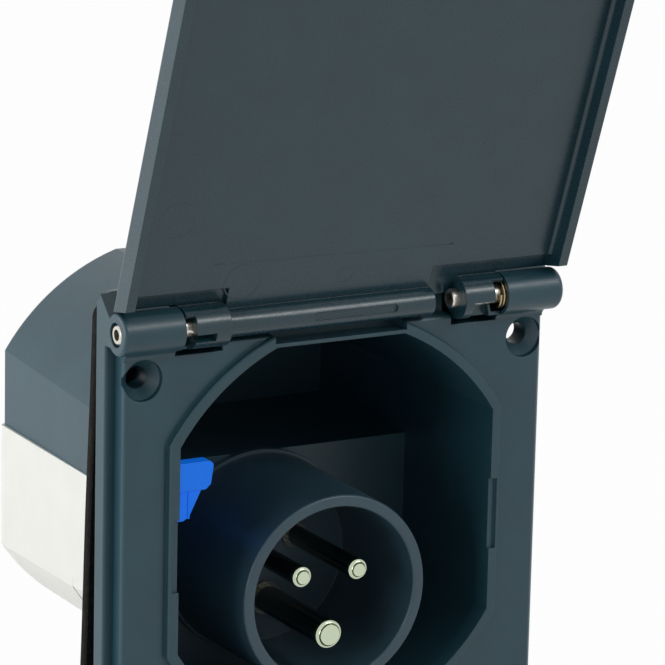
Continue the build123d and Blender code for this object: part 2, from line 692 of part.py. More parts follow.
# Contact pins: turned, with a chamfered tip and a screw terminal at the rear
for name, x, z, radius, across in (
    ("line_pin", -LINE_X, LINE_Z, LINE_PIN_R, -1),
    ("neutral_pin", LINE_X, LINE_Z, LINE_PIN_R, 1),
    ("earth_pin", 0, EARTH_Z, EARTH_PIN_R, 0),
):
    sleeve = radius + TERMINAL_WALL
    with BuildPart() as contact_pin:
        with BuildSketch(turning_plane(x, z)):
            with BuildLine():
                Line((0, PIN_TIP_Y), (radius - PIN_TIP_R, PIN_TIP_Y))
                RadiusArc((radius - PIN_TIP_R, PIN_TIP_Y), (radius, PIN_TIP_Y + PIN_TIP_R), PIN_TIP_R)
                Polyline(
                    (radius, PIN_TIP_Y + PIN_TIP_R),
                    (radius, INSERT_FLOOR_Y - COLLAR_PROUD),
                    (radius + COLLAR_STEP, INSERT_FLOOR_Y - COLLAR_PROUD),
                    (radius + COLLAR_STEP, CARRIER_Y - 4),
                    (sleeve, CARRIER_Y - 4),
                    (sleeve, TERMINAL_Y - 0.4),
                    (sleeve - 0.4, TERMINAL_Y),
                    (0, TERMINAL_Y),
                    (0, PIN_TIP_Y),
                )
            make_face()
        revolve(axis=turning_axis(x, z))
        with BuildSketch(front_plane(TERMINAL_Y)):
            with Locations((x, z)):
                Circle(WIRE_HOLE_R)
        extrude(amount=WIRE_HOLE_DEPTH, mode=Mode.SUBTRACT)
        outward = (across, 0, 0) if across else (0, 0, -1)
        with BuildSketch(Plane(origin=(x, TERMINAL_SCREW_Y, z), x_dir=(0, 1, 0), z_dir=outward)):
            Circle(TERMINAL_SCREW_R)
        extrude(amount=sleeve + 1, mode=Mode.SUBTRACT)
    contact_pin.part.label = name
    export_step(contact_pin.part, "parts/" + name + ".step")

# Terminal screws, one to each pin
with BuildPart() as terminal_screws:
    for x, z, radius, outward in (
        (-LINE_X, LINE_Z, LINE_PIN_R, (-1, 0, 0)),
        (LINE_X, LINE_Z, LINE_PIN_R, (1, 0, 0)),
        (0, EARTH_Z, EARTH_PIN_R, (0, 0, -1)),
    ):
        across = (0, 1, 0)
        base = Vector(x, TERMINAL_SCREW_Y, z) + Vector(*outward) * (WIRE_HOLE_R - 0.4)
        head = Vector(x, TERMINAL_SCREW_Y, z) + Vector(*outward) * (radius + TERMINAL_WALL)
        with BuildSketch(Plane(origin=base, x_dir=across, z_dir=outward)):
            Circle(TERMINAL_SCREW_R)
        extrude(amount=radius + TERMINAL_WALL - WIRE_HOLE_R + 0.4)
        with BuildSketch(Plane(origin=head, x_dir=across, z_dir=outward)):
            Circle(TERMINAL_SCREW_R + 0.9)
        extrude(amount=1.6)
        with BuildSketch(Plane(origin=head + Vector(*outward) * 1.6, x_dir=across, z_dir=outward)):
            Rectangle(0.7, 2 * TERMINAL_SCREW_R + 2)
        extrude(amount=-0.8, mode=Mode.SUBTRACT)
terminal_screws.part.label = "terminal_screws"
export_step(terminal_screws.part, "parts/terminal_screws.step")

# Release lever: stepped pad with a tail, an arm along the side wall, and a hub
with BuildPart() as release_lever:
    with BuildSketch(front_plane(LEVER_FRONT_Y)):
        with BuildLine():
            Polyline(
                (LEVER_LEFT, LEVER_TOP),
                (LEVER_PAD_RIGHT, LEVER_TOP),
                (LEVER_PAD_RIGHT - 0.9, LEVER_STEP_Z + 1.2),
                (LEVER_PAD_RIGHT - 2.2, LEVER_STEP_Z),
                (LEVER_LEFT, LEVER_STEP_Z),
                close=True,
            )
        make_face()
    extrude(amount=-LEVER_PAD_T)
    fillet(release_lever.edges().filter_by(Axis.Y).sort_by(Axis.X)[-1:], 1.4)
    with BuildSketch(front_plane(LEVER_FRONT_Y + 0.6)):
        with BuildLine():
            Polyline(
                (LEVER_LEFT + 2.6, LEVER_STEP_Z + 1),
                (LEVER_PAD_RIGHT - 2.6, LEVER_STEP_Z + 1),
                (LEVER_PAD_RIGHT - 6.4, LEVER_TAIL_Z + 0.9),
                (LEVER_PAD_RIGHT - 8.0, LEVER_TAIL_Z),
                (LEVER_LEFT + 1.4, LEVER_TAIL_Z),
                close=True,
            )
        make_face()
    extrude(amount=-LEVER_PAD_T + 1.4)
    with BuildSketch(front_plane(LEVER_FRONT_Y + 0.6)):
        for rib in range(2):
            with Locations((LEVER_LEFT + 4.6 + 2.2 * rib, (LEVER_STEP_Z + LEVER_TAIL_Z) / 2)):
                Rectangle(0.5, LEVER_STEP_Z - LEVER_TAIL_Z - 1)
    extrude(amount=0.25)
    with BuildSketch(side_plane(LEVER_LEFT)):
        with BuildLine():
            Polyline(
                (LEVER_FRONT_Y + 1, LEVER_STEP_Z + 0.6),
                (LEVER_FRONT_Y + 1, LEVER_TOP - 1.2),
                (PIVOT_Y, PIVOT_Z + HUB_R - 0.8),
                (PIVOT_Y, PIVOT_Z - HUB_R + 0.6),
                close=True,
            )
        make_face()
        with Locations((PIVOT_Y, PIVOT_Z)):
            Circle(HUB_R)
    extrude(amount=LEVER_ARM_RIGHT - LEVER_LEFT)
    with BuildSketch(side_plane(LEVER_LEFT)):
        with Locations((PIVOT_Y, PIVOT_Z)):
            Circle(PIVOT_R + PIVOT_CLEARANCE)
    extrude(amount=LEVER_ARM_RIGHT - LEVER_LEFT, mode=Mode.SUBTRACT)
release_lever.part.label = "release_lever"
export_step(release_lever.part, "parts/release_lever.step")

# Pivot pin of the lever
with BuildPart() as lever_pivot_pin:
    with BuildSketch(side_plane(-OPENING_HALF - WALL_T)):
        with Locations((PIVOT_Y, PIVOT_Z)):
            Circle(PIVOT_R)
    extrude(amount=OPENING_HALF + WALL_T + LUG_LEFT + LUG_T)
lever_pivot_pin.part.label = "lever_pivot_pin"
export_step(lever_pivot_pin.part, "parts/lever_pivot_pin.step")

# Return spring of the lever
lever_spring = coil_spring(
    (LEVER_ARM_RIGHT + LEVER_SPRING_WIRE / 2 + 0.3, PIVOT_Y, PIVOT_Z),
    LEVER_SPRING_R, LEVER_SPRING_WIRE, LEVER_SPRING_PITCH, LEVER_SPRING_TURNS, 4.0, (1, 0, 0),
)
lever_spring.label = "lever_spring"
export_step(lever_spring, "parts/lever_spring.step")

# Rear cover over the terminals: a round-bottomed tray with two cheeks that reach forward
with BuildPart() as rear_cover:
    with BuildSketch(front_plane(COVER_FRONT_Y)):
        add(cover_outline(COVER_HALF, 0))
    extrude(amount=COVER_FRONT_Y - REAR_Y)
    with BuildSketch(front_plane(SHOULDER_Y + 0.3)):
        with Locations((0, COVER_TOP)):
            Rectangle(2 * COVER_HALF, COVER_TOP - COVER_CHEEK_BOTTOM, align=(Align.CENTER, Align.MAX))
    extrude(amount=SHOULDER_Y + 0.3 - COVER_FRONT_Y)
    with BuildSketch(Plane.XY.offset(COVER_BOTTOM)):
        add(side_wedges(COVER_HALF, COVER_REAR_HALF, SHOULDER_Y))
    extrude(amount=COVER_TOP - COVER_BOTTOM, mode=Mode.SUBTRACT)
    rear_face = rear_cover.faces().sort_by(Axis.Y)[-1]
    fillet(rear_face.edges().sort_by(Axis.Z)[:-1], REAR_EDGE_R)
    top_front = rear_cover.edges().filter_by(Axis.X).sort_by(Axis.Z)[-2:].sort_by(Axis.Y)[0]
    fillet(top_front, COVER_TOP_R)
    with BuildSketch(front_plane(SHOULDER_Y)):
        add(cover_outline(COVER_REAR_HALF, COVER_WALL))
        with Locations((0, COVER_TOP)):
            Rectangle(2 * (COVER_REAR_HALF - COVER_WALL), 1)
    extrude(amount=SHOULDER_Y - REAR_Y + COVER_WALL, mode=Mode.SUBTRACT)
    with BuildSketch(front_plane(REAR_Y)):
        with Locations((0, COVER_TOP)):
            Rectangle(2 * TONGUE_HALF + 0.4, 2 * (COVER_TOP - FLOOR_Z) + 0.4)
        with Locations((-POST_X, POST_Z), (POST_X, POST_Z)):
            Circle(COVER_SCREW_R)
        with Locations((0, GLAND_Z)):
            Circle(GLAND_SPIGOT_R + 0.2)
    extrude(amount=COVER_WALL, mode=Mode.SUBTRACT)
rear_cover.part.label = "rear_cover"
export_step(rear_cover.part, "parts/rear_cover.step")

# Screws of the rear cover
with BuildPart() as rear_cover_screws:
    for side in (-1, 1):
        with BuildSketch(turning_plane(side * POST_X, POST_Z)):
            with BuildLine():
                Polyline(
                    (0, REAR_Y - COVER_WALL - 12),
                    (POST_BORE_R, REAR_Y - COVER_WALL - 11),
                    (POST_BORE_R, REAR_Y),
                    (COVER_SCREW_HEAD_R, REAR_Y),
                    (COVER_SCREW_HEAD_R, REAR_Y + 1.2),
                    (COVER_SCREW_HEAD_R - 0.9, REAR_Y + 2.2),
                    (0, REAR_Y + 2.2),
                    close=True,
                )
            make_face()
        revolve(axis=turning_axis(side * POST_X, POST_Z))
        with BuildSketch(front_plane(REAR_Y + 2.2)):
            with Locations((side * POST_X, POST_Z)):
                Rectangle(3.0, 0.7)
                Rectangle(0.7, 3.0)
        extrude(amount=1.2, mode=Mode.SUBTRACT)
rear_cover_screws.part.label = "rear_cover_screws"
export_step(rear_cover_screws.part, "parts/rear_cover_screws.step")

# Cable gland: body through the rear wall, locknut inside, sealing sleeve and dome nut outside
GLAND_END_Y = REAR_Y + GLAND_HEX_T + GLAND_FRONT_L
with BuildPart() as cable_gland_body:
    with BuildSketch(front_plane(REAR_Y - 10)):
        with Locations((0, GLAND_Z)):
            Circle(GLAND_SPIGOT_R)
    extrude(amount=REAR_Y - 10 - GLAND_END_Y)
    with BuildSketch(front_plane(REAR_Y)):
        with Locations((0, GLAND_Z)):
            RegularPolygon(GLAND_HEX_R, 6)
    extrude(amount=-GLAND_HEX_T)
    with BuildSketch(front_plane(REAR_Y - 10)):
        with Locations((0, GLAND_Z)):
            Circle(GLAND_BORE_R)
    extrude(amount=REAR_Y - 10 - GLAND_END_Y, mode=Mode.SUBTRACT)
    chamfer(cable_gland_body.faces().sort_by(Axis.Y)[0].edges().sort_by(SortBy.RADIUS)[-1], 0.6)
cable_gland_body.part.label = "cable_gland_body"
export_step(cable_gland_body.part, "parts/cable_gland_body.step")

with BuildPart() as cable_gland_locknut:
    with BuildSketch(front_plane(REAR_Y - COVER_WALL)):
        with Locations((0, GLAND_Z)):
            RegularPolygon(LOCKNUT_R, 6)
            Circle(GLAND_SPIGOT_R, mode=Mode.SUBTRACT)
    extrude(amount=LOCKNUT_T)
cable_gland_locknut.part.label = "cable_gland_locknut"
export_step(cable_gland_locknut.part, "parts/cable_gland_locknut.step")

with BuildPart() as cable_gland_seal:
    with BuildSketch(turning_plane(0, GLAND_Z)):
        with BuildLine():
            Polyline(
                (CORD_R, GLAND_END_Y - 9),
                (GLAND_BORE_R, GLAND_END_Y - 9),
                (GLAND_BORE_R, GLAND_END_Y),
                (GLAND_BORE_R - 1, GLAND_END_Y + 2),
                (CORD_R, GLAND_END_Y + 2),
                close=True,
            )
        make_face()
    revolve(axis=turning_axis(0, GLAND_Z))
cable_gland_seal.part.label = "cable_gland_seal"
export_step(cable_gland_seal.part, "parts/cable_gland_seal.step")

with BuildPart() as cable_gland_nut:
    with BuildSketch(turning_plane(0, GLAND_Z)):
        start = REAR_Y + GLAND_HEX_T + 0.6
        with BuildLine():
            Polyline(
                (GLAND_SPIGOT_R, start),
                (DOME_R, start),
                (DOME_R, start + 0.6 * DOME_L),
                (DOME_R - 1.6, start + 0.85 * DOME_L),
                (DOME_R - 3.6, start + DOME_L),
                (CORD_R + 1.2, start + DOME_L),
                (CORD_R + 1.2, GLAND_END_Y + 2.4),
                (GLAND_SPIGOT_R, GLAND_END_Y + 0.7),
                close=True,
            )
        make_face()
    revolve(axis=turning_axis(0, GLAND_Z))
    with BuildSketch(front_plane(REAR_Y + GLAND_HEX_T + 0.6)):
        with Locations((0, GLAND_Z)):
            with PolarLocations(DOME_R, 12):
                Circle(0.9)
    extrude(amount=-0.5 * DOME_L, mode=Mode.SUBTRACT)
cable_gland_nut.part.label = "cable_gland_nut"
export_step(cable_gland_nut.part, "parts/cable_gland_nut.step")
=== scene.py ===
import json
import math

import bmesh
import bpy
from mathutils import Matrix, Vector


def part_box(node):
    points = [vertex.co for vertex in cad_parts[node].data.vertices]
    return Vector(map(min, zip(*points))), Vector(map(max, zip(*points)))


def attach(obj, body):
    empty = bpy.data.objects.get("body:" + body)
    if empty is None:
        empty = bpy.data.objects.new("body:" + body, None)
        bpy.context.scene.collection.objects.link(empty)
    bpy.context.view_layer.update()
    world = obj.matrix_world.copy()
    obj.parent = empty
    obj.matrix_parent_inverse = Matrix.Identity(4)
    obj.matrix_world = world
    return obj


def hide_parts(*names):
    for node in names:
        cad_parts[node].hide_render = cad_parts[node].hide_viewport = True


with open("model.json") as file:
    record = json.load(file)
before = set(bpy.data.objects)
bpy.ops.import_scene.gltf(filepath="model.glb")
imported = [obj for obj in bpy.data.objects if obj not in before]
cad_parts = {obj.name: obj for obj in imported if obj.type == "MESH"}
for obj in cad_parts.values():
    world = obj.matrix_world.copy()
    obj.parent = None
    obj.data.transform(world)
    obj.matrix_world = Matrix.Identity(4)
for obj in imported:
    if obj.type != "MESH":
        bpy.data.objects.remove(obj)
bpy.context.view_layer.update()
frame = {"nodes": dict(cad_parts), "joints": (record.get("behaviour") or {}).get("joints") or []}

nodes = frame["nodes"]
joints = {joint["name"]: joint for joint in frame["joints"]}
MM = 0.001
FRAME_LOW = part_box("frame")[0]
GASKET_LOW, GASKET_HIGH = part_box("wall_gasket")
HINGE = Vector(joints["lid_hinge"]["pos_m"])

# The open lid leans this much to the user; its inner face lies this far out from the hinge axis
LID_TILT = math.radians(20.0)
LID_FACE = -1.45 * MM
LID_ALONG = Vector((0, -math.sin(LID_TILT), math.cos(LID_TILT)))
LID_OUT = Vector((0, -math.cos(LID_TILT), -math.sin(LID_TILT)))

# Camera at the photograph's angle
CAMERA_AZIMUTH = math.radians(-29.275)
CAMERA_ELEVATION = math.radians(14.119)
CAMERA_ROLL = math.radians(1.324)
CAMERA_AIM = Vector((-1.662, -12.5, 51.588)) * MM
CAMERA_DISTANCE = 1.0367
FOCAL_PIXELS = 4324.0
IMAGE_PIXELS = 665.0
SENSOR_MM = 36.0

# Lamps: place and size in metres, power in watts
LAMP_AIM = Vector((0.0, 0.0, 0.03))
LAMPS = {
    "left_soft": ((-1.35, 0.32, 0.24), (1.8, 0.7), 15.5),
    "top_soft": ((-0.1, -0.25, 1.4), (1.2, 1.0), 1.0),
    "right_long": ((0.64, -0.92, 0.90), (0.8, 0.24), 4.8),
}
WORLD_TINT = (0.93, 0.96, 1.0, 1.0)
WORLD_LIGHT = 0.15

# Stage: a round floor just under the object, and how far its own white takes over where it is seen
FLOOR_RADIUS = 8.0
FLOOR_GAP = 2 * MM
FLOOR_GLOW = 0.975

# Colours, linear
ANTHRACITE = (0.019, 0.067, 0.091)
# The lid's plastic: the anthracite made darker as painted shade for the dim light on the lid's inner face
LID_SHADED_GREY = (0.013, 0.052, 0.070)
INSERT_GREY = (0.038, 0.082, 0.112)
WHITE = (0.96, 0.965, 0.90)
BLUE = (0.006, 0.20, 1.0)
GLAND_GREY = (0.060, 0.064, 0.070)
FOAM = (0.012, 0.012, 0.011)
RUBBER = (0.020, 0.020, 0.021)
ZINC = (0.66, 0.63, 0.56)
# Spring metal, partly its own colour and partly painted shade: darkened to stand in for the shade in the
# hinge slots
SPRING = (0.42, 0.34, 0.19)
NICKEL = (0.53, 0.61, 0.45)
# Painted shade colour for the pins' shafts deep in the shroud
SHADED_NICKEL = (0.15, 0.155, 0.135)
STAGE_WHITE = (0.90, 0.90, 0.90)

# Painted shade: the pins keep their own colour in front of the first depth and are painted darker behind the
# second, as the shade inside the shroud
BRIGHT_Y, SHADED_Y = -11.2 * MM, -9.0 * MM

# The middle range of a noise texture, where nearly all its values lie
NOISE_LOW, NOISE_HIGH = 0.3, 0.7

# Moulding marks on the lid's inner face, in millimetres across it and along it from the hinge
EJECTOR_RIMS = (  # x, along, radius
    (-48.6, 29.5, 4.8), (-28.0, 10.5, 4.8), (-0.9, 80.3, 4.8), (-0.2, 9.5, 2.1), (32.0, 41.9, 2.1),
)
STEP_LINE_START, STEP_LINE_RUN, STEP_LINE_PARTS = (-36.4, 16.1), (65.0, -1.0), 20
RIDGE_FOOT = -0.02  # how deep a ridge's foot is sunk into the lid


def shader(name):
    """A new material with its node tree, its principled shader and an object coordinate."""
    material = bpy.data.materials.new(name)
    material.use_nodes = True
    tree = material.node_tree
    principled = tree.nodes["Principled BSDF"]
    place = tree.nodes.new("ShaderNodeTexCoord")
    return material, tree, principled, place.outputs["Object"]


def noise(tree, place, scale, detail):
    """Noise texture at a place; scale is in cycles per metre."""
    node = tree.nodes.new("ShaderNodeTexNoise")
    node.inputs["Scale"].default_value = scale
    node.inputs["Detail"].default_value = detail
    node.inputs["Roughness"].default_value = 0.55
    tree.links.new(place, node.inputs["Vector"])
    return node.outputs["Fac"]


def scaled(colour, factor):
    """The colour made brighter or darker, within white."""
    return tuple(min(1.0, channel * factor) for channel in colour)


def ramp(tree, factor, stops):
    """Colour ramp over factor; stops are (position, rgb)."""
    node = tree.nodes.new("ShaderNodeValToRGB")
    elements = node.color_ramp.elements
    while len(elements) < len(stops):
        elements.new(0.5)
    for element, (position, colour) in zip(elements, stops):
        element.position = position
        element.color = (*colour, 1.0)
    tree.links.new(factor, node.inputs["Fac"])
    return node.outputs["Color"]


def mottled(tree, factor, colour, darker, brighter):
    """The colour, from darker to brighter over the middle range of a noise."""
    return ramp(tree, factor, ((NOISE_LOW, scaled(colour, darker)), (NOISE_HIGH, scaled(colour, brighter))))


def spread(tree, factor, low, high):
    """Maps a noise from its middle range to low..high."""
    node = tree.nodes.new("ShaderNodeMapRange")
    node.inputs["From Min"].default_value = NOISE_LOW
    node.inputs["From Max"].default_value = NOISE_HIGH
    node.inputs["To Min"].default_value = low
    node.inputs["To Max"].default_value = high
    tree.links.new(factor, node.inputs["Value"])
    return node.outputs["Result"]


def grain(tree, principled, height, strength, distance, edge=0.0):
    """Bump from height, over edges rounded by the given radius."""
    bump = tree.nodes.new("ShaderNodeBump")
    bump.inputs["Strength"].default_value = strength
    bump.inputs["Distance"].default_value = distance
    tree.links.new(height, bump.inputs["Height"])
    if edge:
        bevel = tree.nodes.new("ShaderNodeBevel")
        bevel.samples = 4
        bevel.inputs["Radius"].default_value = edge
        tree.links.new(bevel.outputs["Normal"], bump.inputs["Normal"])
    tree.links.new(bump.outputs["Normal"], principled.inputs["Normal"])


def moulded_plastic(name, colour, roughness, mottle=0.10, edge=0.3 * MM, specular=0.5, glow=0.0):
    """Plastic with a fine spark-eroded grain and a faint flow mottle; glow is painted light, an emission
    that makes the part shine brighter than the lamps light it.
    """
    material, tree, principled, place = shader(name)
    flow = noise(tree, place, 90.0, 4.0)
    tree.links.new(mottled(tree, flow, colour, 1 - mottle, 1 + mottle), principled.inputs["Base Color"])
    eroded = noise(tree, place, 2600.0, 2.0)
    tree.links.new(spread(tree, eroded, roughness - 0.04, roughness + 0.06), principled.inputs["Roughness"])
    principled.inputs["Specular IOR Level"].default_value = specular
    # Painted light: the emission makes the part glow though it is no lamp
    if glow:
        principled.inputs["Emission Color"].default_value = (*colour, 1.0)
        principled.inputs["Emission Strength"].default_value = glow
    grain(tree, principled, eroded, 0.16, 0.05 * MM, edge)
    return material


def foam_rubber(name, colour):
    """Closed-cell foam: dark and dull, with small open cells."""
    material, tree, principled, place = shader(name)
    cells = tree.nodes.new("ShaderNodeTexVoronoi")
    cells.inputs["Scale"].default_value = 1500.0
    tree.links.new(place, cells.inputs["Vector"])
    patch = noise(tree, place, 700.0, 3.0)
    tint = ramp(tree, patch, ((0.35, scaled(colour, 0.55)), (0.55, colour), (0.72, scaled(colour, 1.8))))
    tree.links.new(tint, principled.inputs["Base Color"])
    principled.inputs["Roughness"].default_value = 0.92
    principled.inputs["Specular IOR Level"].default_value = 0.1
    grain(tree, principled, cells.outputs["Distance"], 0.5, 0.25 * MM)
    return material


def metal(name, colour, roughness, streak=0.12, painted_shade=None):
    """Turned or drawn metal with fine streaks; with a painted shade colour it is painted darker behind the
    pins' tips, standing in for the shade inside the shroud.
    """
    material, tree, principled, place = shader(name)
    stretch = tree.nodes.new("ShaderNodeMapping")
    stretch.inputs["Scale"].default_value = (1.0, 1.0, 6.0)
    tree.links.new(place, stretch.inputs["Vector"])
    fine = noise(tree, stretch.outputs["Vector"], 1400.0, 4.0)
    tint = mottled(tree, fine, colour, 1 - streak, 1 + streak)
    # Painted shade: behind the tips the colour turns to the darker one
    if painted_shade:
        split = tree.nodes.new("ShaderNodeSeparateXYZ")
        tree.links.new(place, split.inputs["Vector"])
        depth = tree.nodes.new("ShaderNodeMapRange")
        depth.inputs["From Min"].default_value = BRIGHT_Y
        depth.inputs["From Max"].default_value = SHADED_Y
        tree.links.new(split.outputs["Y"], depth.inputs["Value"])
        blend = tree.nodes.new("ShaderNodeMix")
        blend.data_type = "RGBA"
        tree.links.new(depth.outputs["Result"], blend.inputs["Factor"])
        tree.links.new(tint, blend.inputs[6])
        tree.links.new(mottled(tree, fine, painted_shade, 0.8, 1.25), blend.inputs[7])
        tint = blend.outputs[2]
    tree.links.new(tint, principled.inputs["Base Color"])
    principled.inputs["Metallic"].default_value = 1.0
    tree.links.new(spread(tree, fine, roughness * 0.8, roughness * 1.3), principled.inputs["Roughness"])
    grain(tree, principled, fine, 0.06, 0.03 * MM)
    return material


def soft_rubber(name, colour):
    """Dull rubber with a patchy bloom."""
    material, tree, principled, place = shader(name)
    bloom = noise(tree, place, 400.0, 4.0)
    tree.links.new(mottled(tree, bloom, colour, 0.8, 1.4), principled.inputs["Base Color"])
    principled.inputs["Roughness"].default_value = 0.75
    grain(tree, principled, bloom, 0.1, 0.05 * MM)
    return material


def combined(tree, operation, first, second):
    """Two values put together by a math node; the second may be a plain number."""
    node = tree.nodes.new("ShaderNodeMath")
    node.operation = operation
    tree.links.new(first, node.inputs[0])
    if isinstance(second, float):
        node.inputs[1].default_value = second
    else:
        tree.links.new(second, node.inputs[1])
    return node.outputs["Value"]


def show(tree, factor, plain, bright, output):
    """Sends the plain shader to the output, and the bright one as far as factor says."""
    mix = tree.nodes.new("ShaderNodeMixShader")
    tree.links.new(factor, mix.inputs["Fac"])
    tree.links.new(plain, mix.inputs[1])
    tree.links.new(bright, mix.inputs[2])
    tree.links.new(mix.outputs["Shader"], tree.nodes[output].inputs["Surface"])


def stage_white(name):
    """Pale stage that shows white to the camera and in gloss, and keeps a faint shadow."""
    material, tree, principled, place = shader(name)
    principled.inputs["Roughness"].default_value = 0.9
    principled.inputs["Specular IOR Level"].default_value = 0.0
    wash = noise(tree, place, 1.0, 1.0)
    tint = ramp(tree, wash, ((0.0, STAGE_WHITE), (1.0, scaled(STAGE_WHITE, 1.01))))
    tree.links.new(tint, principled.inputs["Base Color"])
    glow = tree.nodes.new("ShaderNodeEmission")
    ray = tree.nodes.new("ShaderNodeLightPath")
    seen = combined(tree, "MAXIMUM", ray.outputs["Is Camera Ray"], ray.outputs["Is Glossy Ray"])
    share = combined(tree, "MULTIPLY", seen, FLOOR_GLOW)
    show(tree, share, principled.outputs["BSDF"], glow.outputs["Emission"], "Material Output")
    return material


materials = {
    "anthracite": moulded_plastic("anthracite", ANTHRACITE, 0.36),
    # Darker than the anthracite as painted shade; its lower roughness is the lid's own gloss
    "polished_shaded": moulded_plastic("polished_shaded", LID_SHADED_GREY, 0.25),
    "insert": moulded_plastic("insert", INSERT_GREY, 0.34),
    "white": moulded_plastic("white", WHITE, 0.42, mottle=0.02),
    # The blue lever's glow is painted light that brightens it in its dim recess
    "blue": moulded_plastic("blue", BLUE, 0.30, mottle=0.06, edge=0.25 * MM, specular=0.3, glow=0.30),
    "gland": moulded_plastic("gland", GLAND_GREY, 0.40),
    "foam": foam_rubber("foam", FOAM),
    "rubber": soft_rubber("rubber", RUBBER),
    "zinc": metal("zinc", ZINC, 0.28),
    "spring": metal("spring", SPRING, 0.25),
    # The pins' shafts are painted darker, as shade inside the shroud
    "nickel": metal("nickel", NICKEL, 0.16, streak=0.05, painted_shade=SHADED_NICKEL),
}
finishes = {
    "frame": "anthracite",
    "lid": "polished_shaded",
    "hinge_pin_left": "zinc",
    "hinge_pin_right": "zinc",
    "torsion_spring_left": "spring",
    "torsion_spring_right": "spring",
    "contact_insert": "insert",
    "insert_seal": "rubber",
    "insert_screws": "zinc",
    "line_pin": "nickel",
    "neutral_pin": "nickel",
    "earth_pin": "nickel",
    "terminal_screws": "zinc",
    "release_lever": "blue",
    "lever_pivot_pin": "zinc",
    "lever_spring": "spring",
    "rear_cover": "white",
    "rear_cover_screws": "zinc",
    "cable_gland_body": "gland",
    "cable_gland_locknut": "gland",
    "cable_gland_seal": "rubber",
    "cable_gland_nut": "gland",
    "wall_gasket": "foam",
}


def dress(piece, material):
    """Gives the piece this one material."""
    piece.data.materials.clear()
    piece.data.materials.append(material)


def mesh_piece(name, build):
    """An object whose mesh the function build fills."""
    mesh = bpy.data.meshes.new(name)
    grid = bmesh.new()
    build(grid)
    bmesh.ops.recalc_face_normals(grid, faces=grid.faces)
    grid.to_mesh(mesh)
    grid.free()
    piece = bpy.data.objects.new(name, mesh)
    bpy.context.scene.collection.objects.link(piece)
    return piece


def arc_points(centre_x, centre_z, radius, start=0.0, sweep=360.0, steps=32, closed=True):
    """Points on an arc about a centre, angles in degrees; a closed arc leaves its last point out."""
    count = steps if closed else steps + 1
    turns = [math.radians(start + sweep * step / steps) for step in range(count)]
    return [(centre_x + radius * math.cos(turn), centre_z + radius * math.sin(turn)) for turn in turns]


def make_stage():
    """A round floor; the world shows white around it, so that no backdrop hides the rear."""
    def build(grid):
        rim = arc_points(0, 0, FLOOR_RADIUS, steps=64)
        grid.faces.new([grid.verts.new((x, y, FRAME_LOW.z - FLOOR_GAP)) for x, y in rim])

    floor = mesh_piece("stage_floor", build)
    dress(floor, stage_white("stage_white"))


def make_world():
    """Dim even light from all around; white to the camera, in gloss and through glass."""
    world = bpy.data.worlds.new("studio")
    world.use_nodes = True
    tree = world.node_tree
    light = tree.nodes["Background"]
    light.inputs["Color"].default_value = WORLD_TINT
    light.inputs["Strength"].default_value = WORLD_LIGHT
    white = tree.nodes.new("ShaderNodeBackground")
    white.inputs["Color"].default_value = (1.0, 1.0, 1.0, 1.0)
    white.inputs["Strength"].default_value = 1.0
    ray = tree.nodes.new("ShaderNodeLightPath")
    seen = combined(tree, "MAXIMUM", ray.outputs["Is Camera Ray"], ray.outputs["Is Glossy Ray"])
    seen = combined(tree, "MAXIMUM", seen, ray.outputs["Is Transmission Ray"])
    show(tree, seen, light.outputs["Background"], white.outputs["Background"], "World Output")
    bpy.context.scene.world = world


def make_lights():
    """A big soft light far to the left, a weak one above, and a long one in front at the upper right."""
    for name, (place, size, power) in LAMPS.items():
        lamp = bpy.data.lights.new(name, "AREA")
        lamp.shape = "RECTANGLE"
        lamp.size, lamp.size_y = size
        lamp.energy = power
        piece = bpy.data.objects.new(name, lamp)
        piece.location = place
        piece.rotation_euler = (LAMP_AIM - Vector(place)).to_track_quat("-Z", "Y").to_euler()
        bpy.context.scene.collection.objects.link(piece)


def make_camera():
    """The camera that was fitted to the photograph."""
    forward = Vector((
        -math.sin(CAMERA_AZIMUTH) * math.cos(CAMERA_ELEVATION),
        math.cos(CAMERA_AZIMUTH) * math.cos(CAMERA_ELEVATION),
        -math.sin(CAMERA_ELEVATION),
    ))
    level = Vector((math.cos(CAMERA_AZIMUTH), math.sin(CAMERA_AZIMUTH), 0.0))
    upright = level.cross(forward)
    right = level * math.cos(CAMERA_ROLL) + upright * math.sin(CAMERA_ROLL)
    up = upright * math.cos(CAMERA_ROLL) - level * math.sin(CAMERA_ROLL)
    lens = bpy.data.cameras.new("camera")
    lens.sensor_width = SENSOR_MM
    lens.lens = FOCAL_PIXELS / IMAGE_PIXELS * SENSOR_MM
    lens.clip_end = 20.0
    camera = bpy.data.objects.new("camera", lens)
    turn = Matrix((right, up, -forward)).transposed().to_4x4()
    camera.matrix_world = Matrix.Translation(CAMERA_AIM - forward * CAMERA_DISTANCE) @ turn
    bpy.context.scene.collection.objects.link(camera)
    bpy.context.scene.camera = camera


def gasket_outline():
    """Rounded outer edge of the foam sheet."""
    half, low, high, radius = 59.5, -59.5, 62.0, 3.5
    points = []
    for x, z, start in ((half, high, 0), (-half, high, 90), (-half, low, 180), (half, low, 270)):
        inward_x, inward_z = math.copysign(radius, x), math.copysign(radius, z)
        points += arc_points(x - inward_x, z - inward_z, radius, start, 90.0, 6, closed=False)
    return points


def body_hole():
    """Arched hole for the body: a circle cut flat at its sides, top and bottom."""
    radius, centre_z, half, low, high = 57.0, 1.1, 50.1, -50.6, 55.6
    points = []
    for x, z in arc_points(0.0, 0.0, radius, steps=240):
        shrink = min(1.0, half / max(abs(x), 1e-6))
        if z > 0:
            shrink = min(shrink, (high - centre_z) / z)
        if z < 0:
            shrink = min(shrink, (low - centre_z) / z)
        points.append((x * shrink, centre_z + z * shrink))
    return points


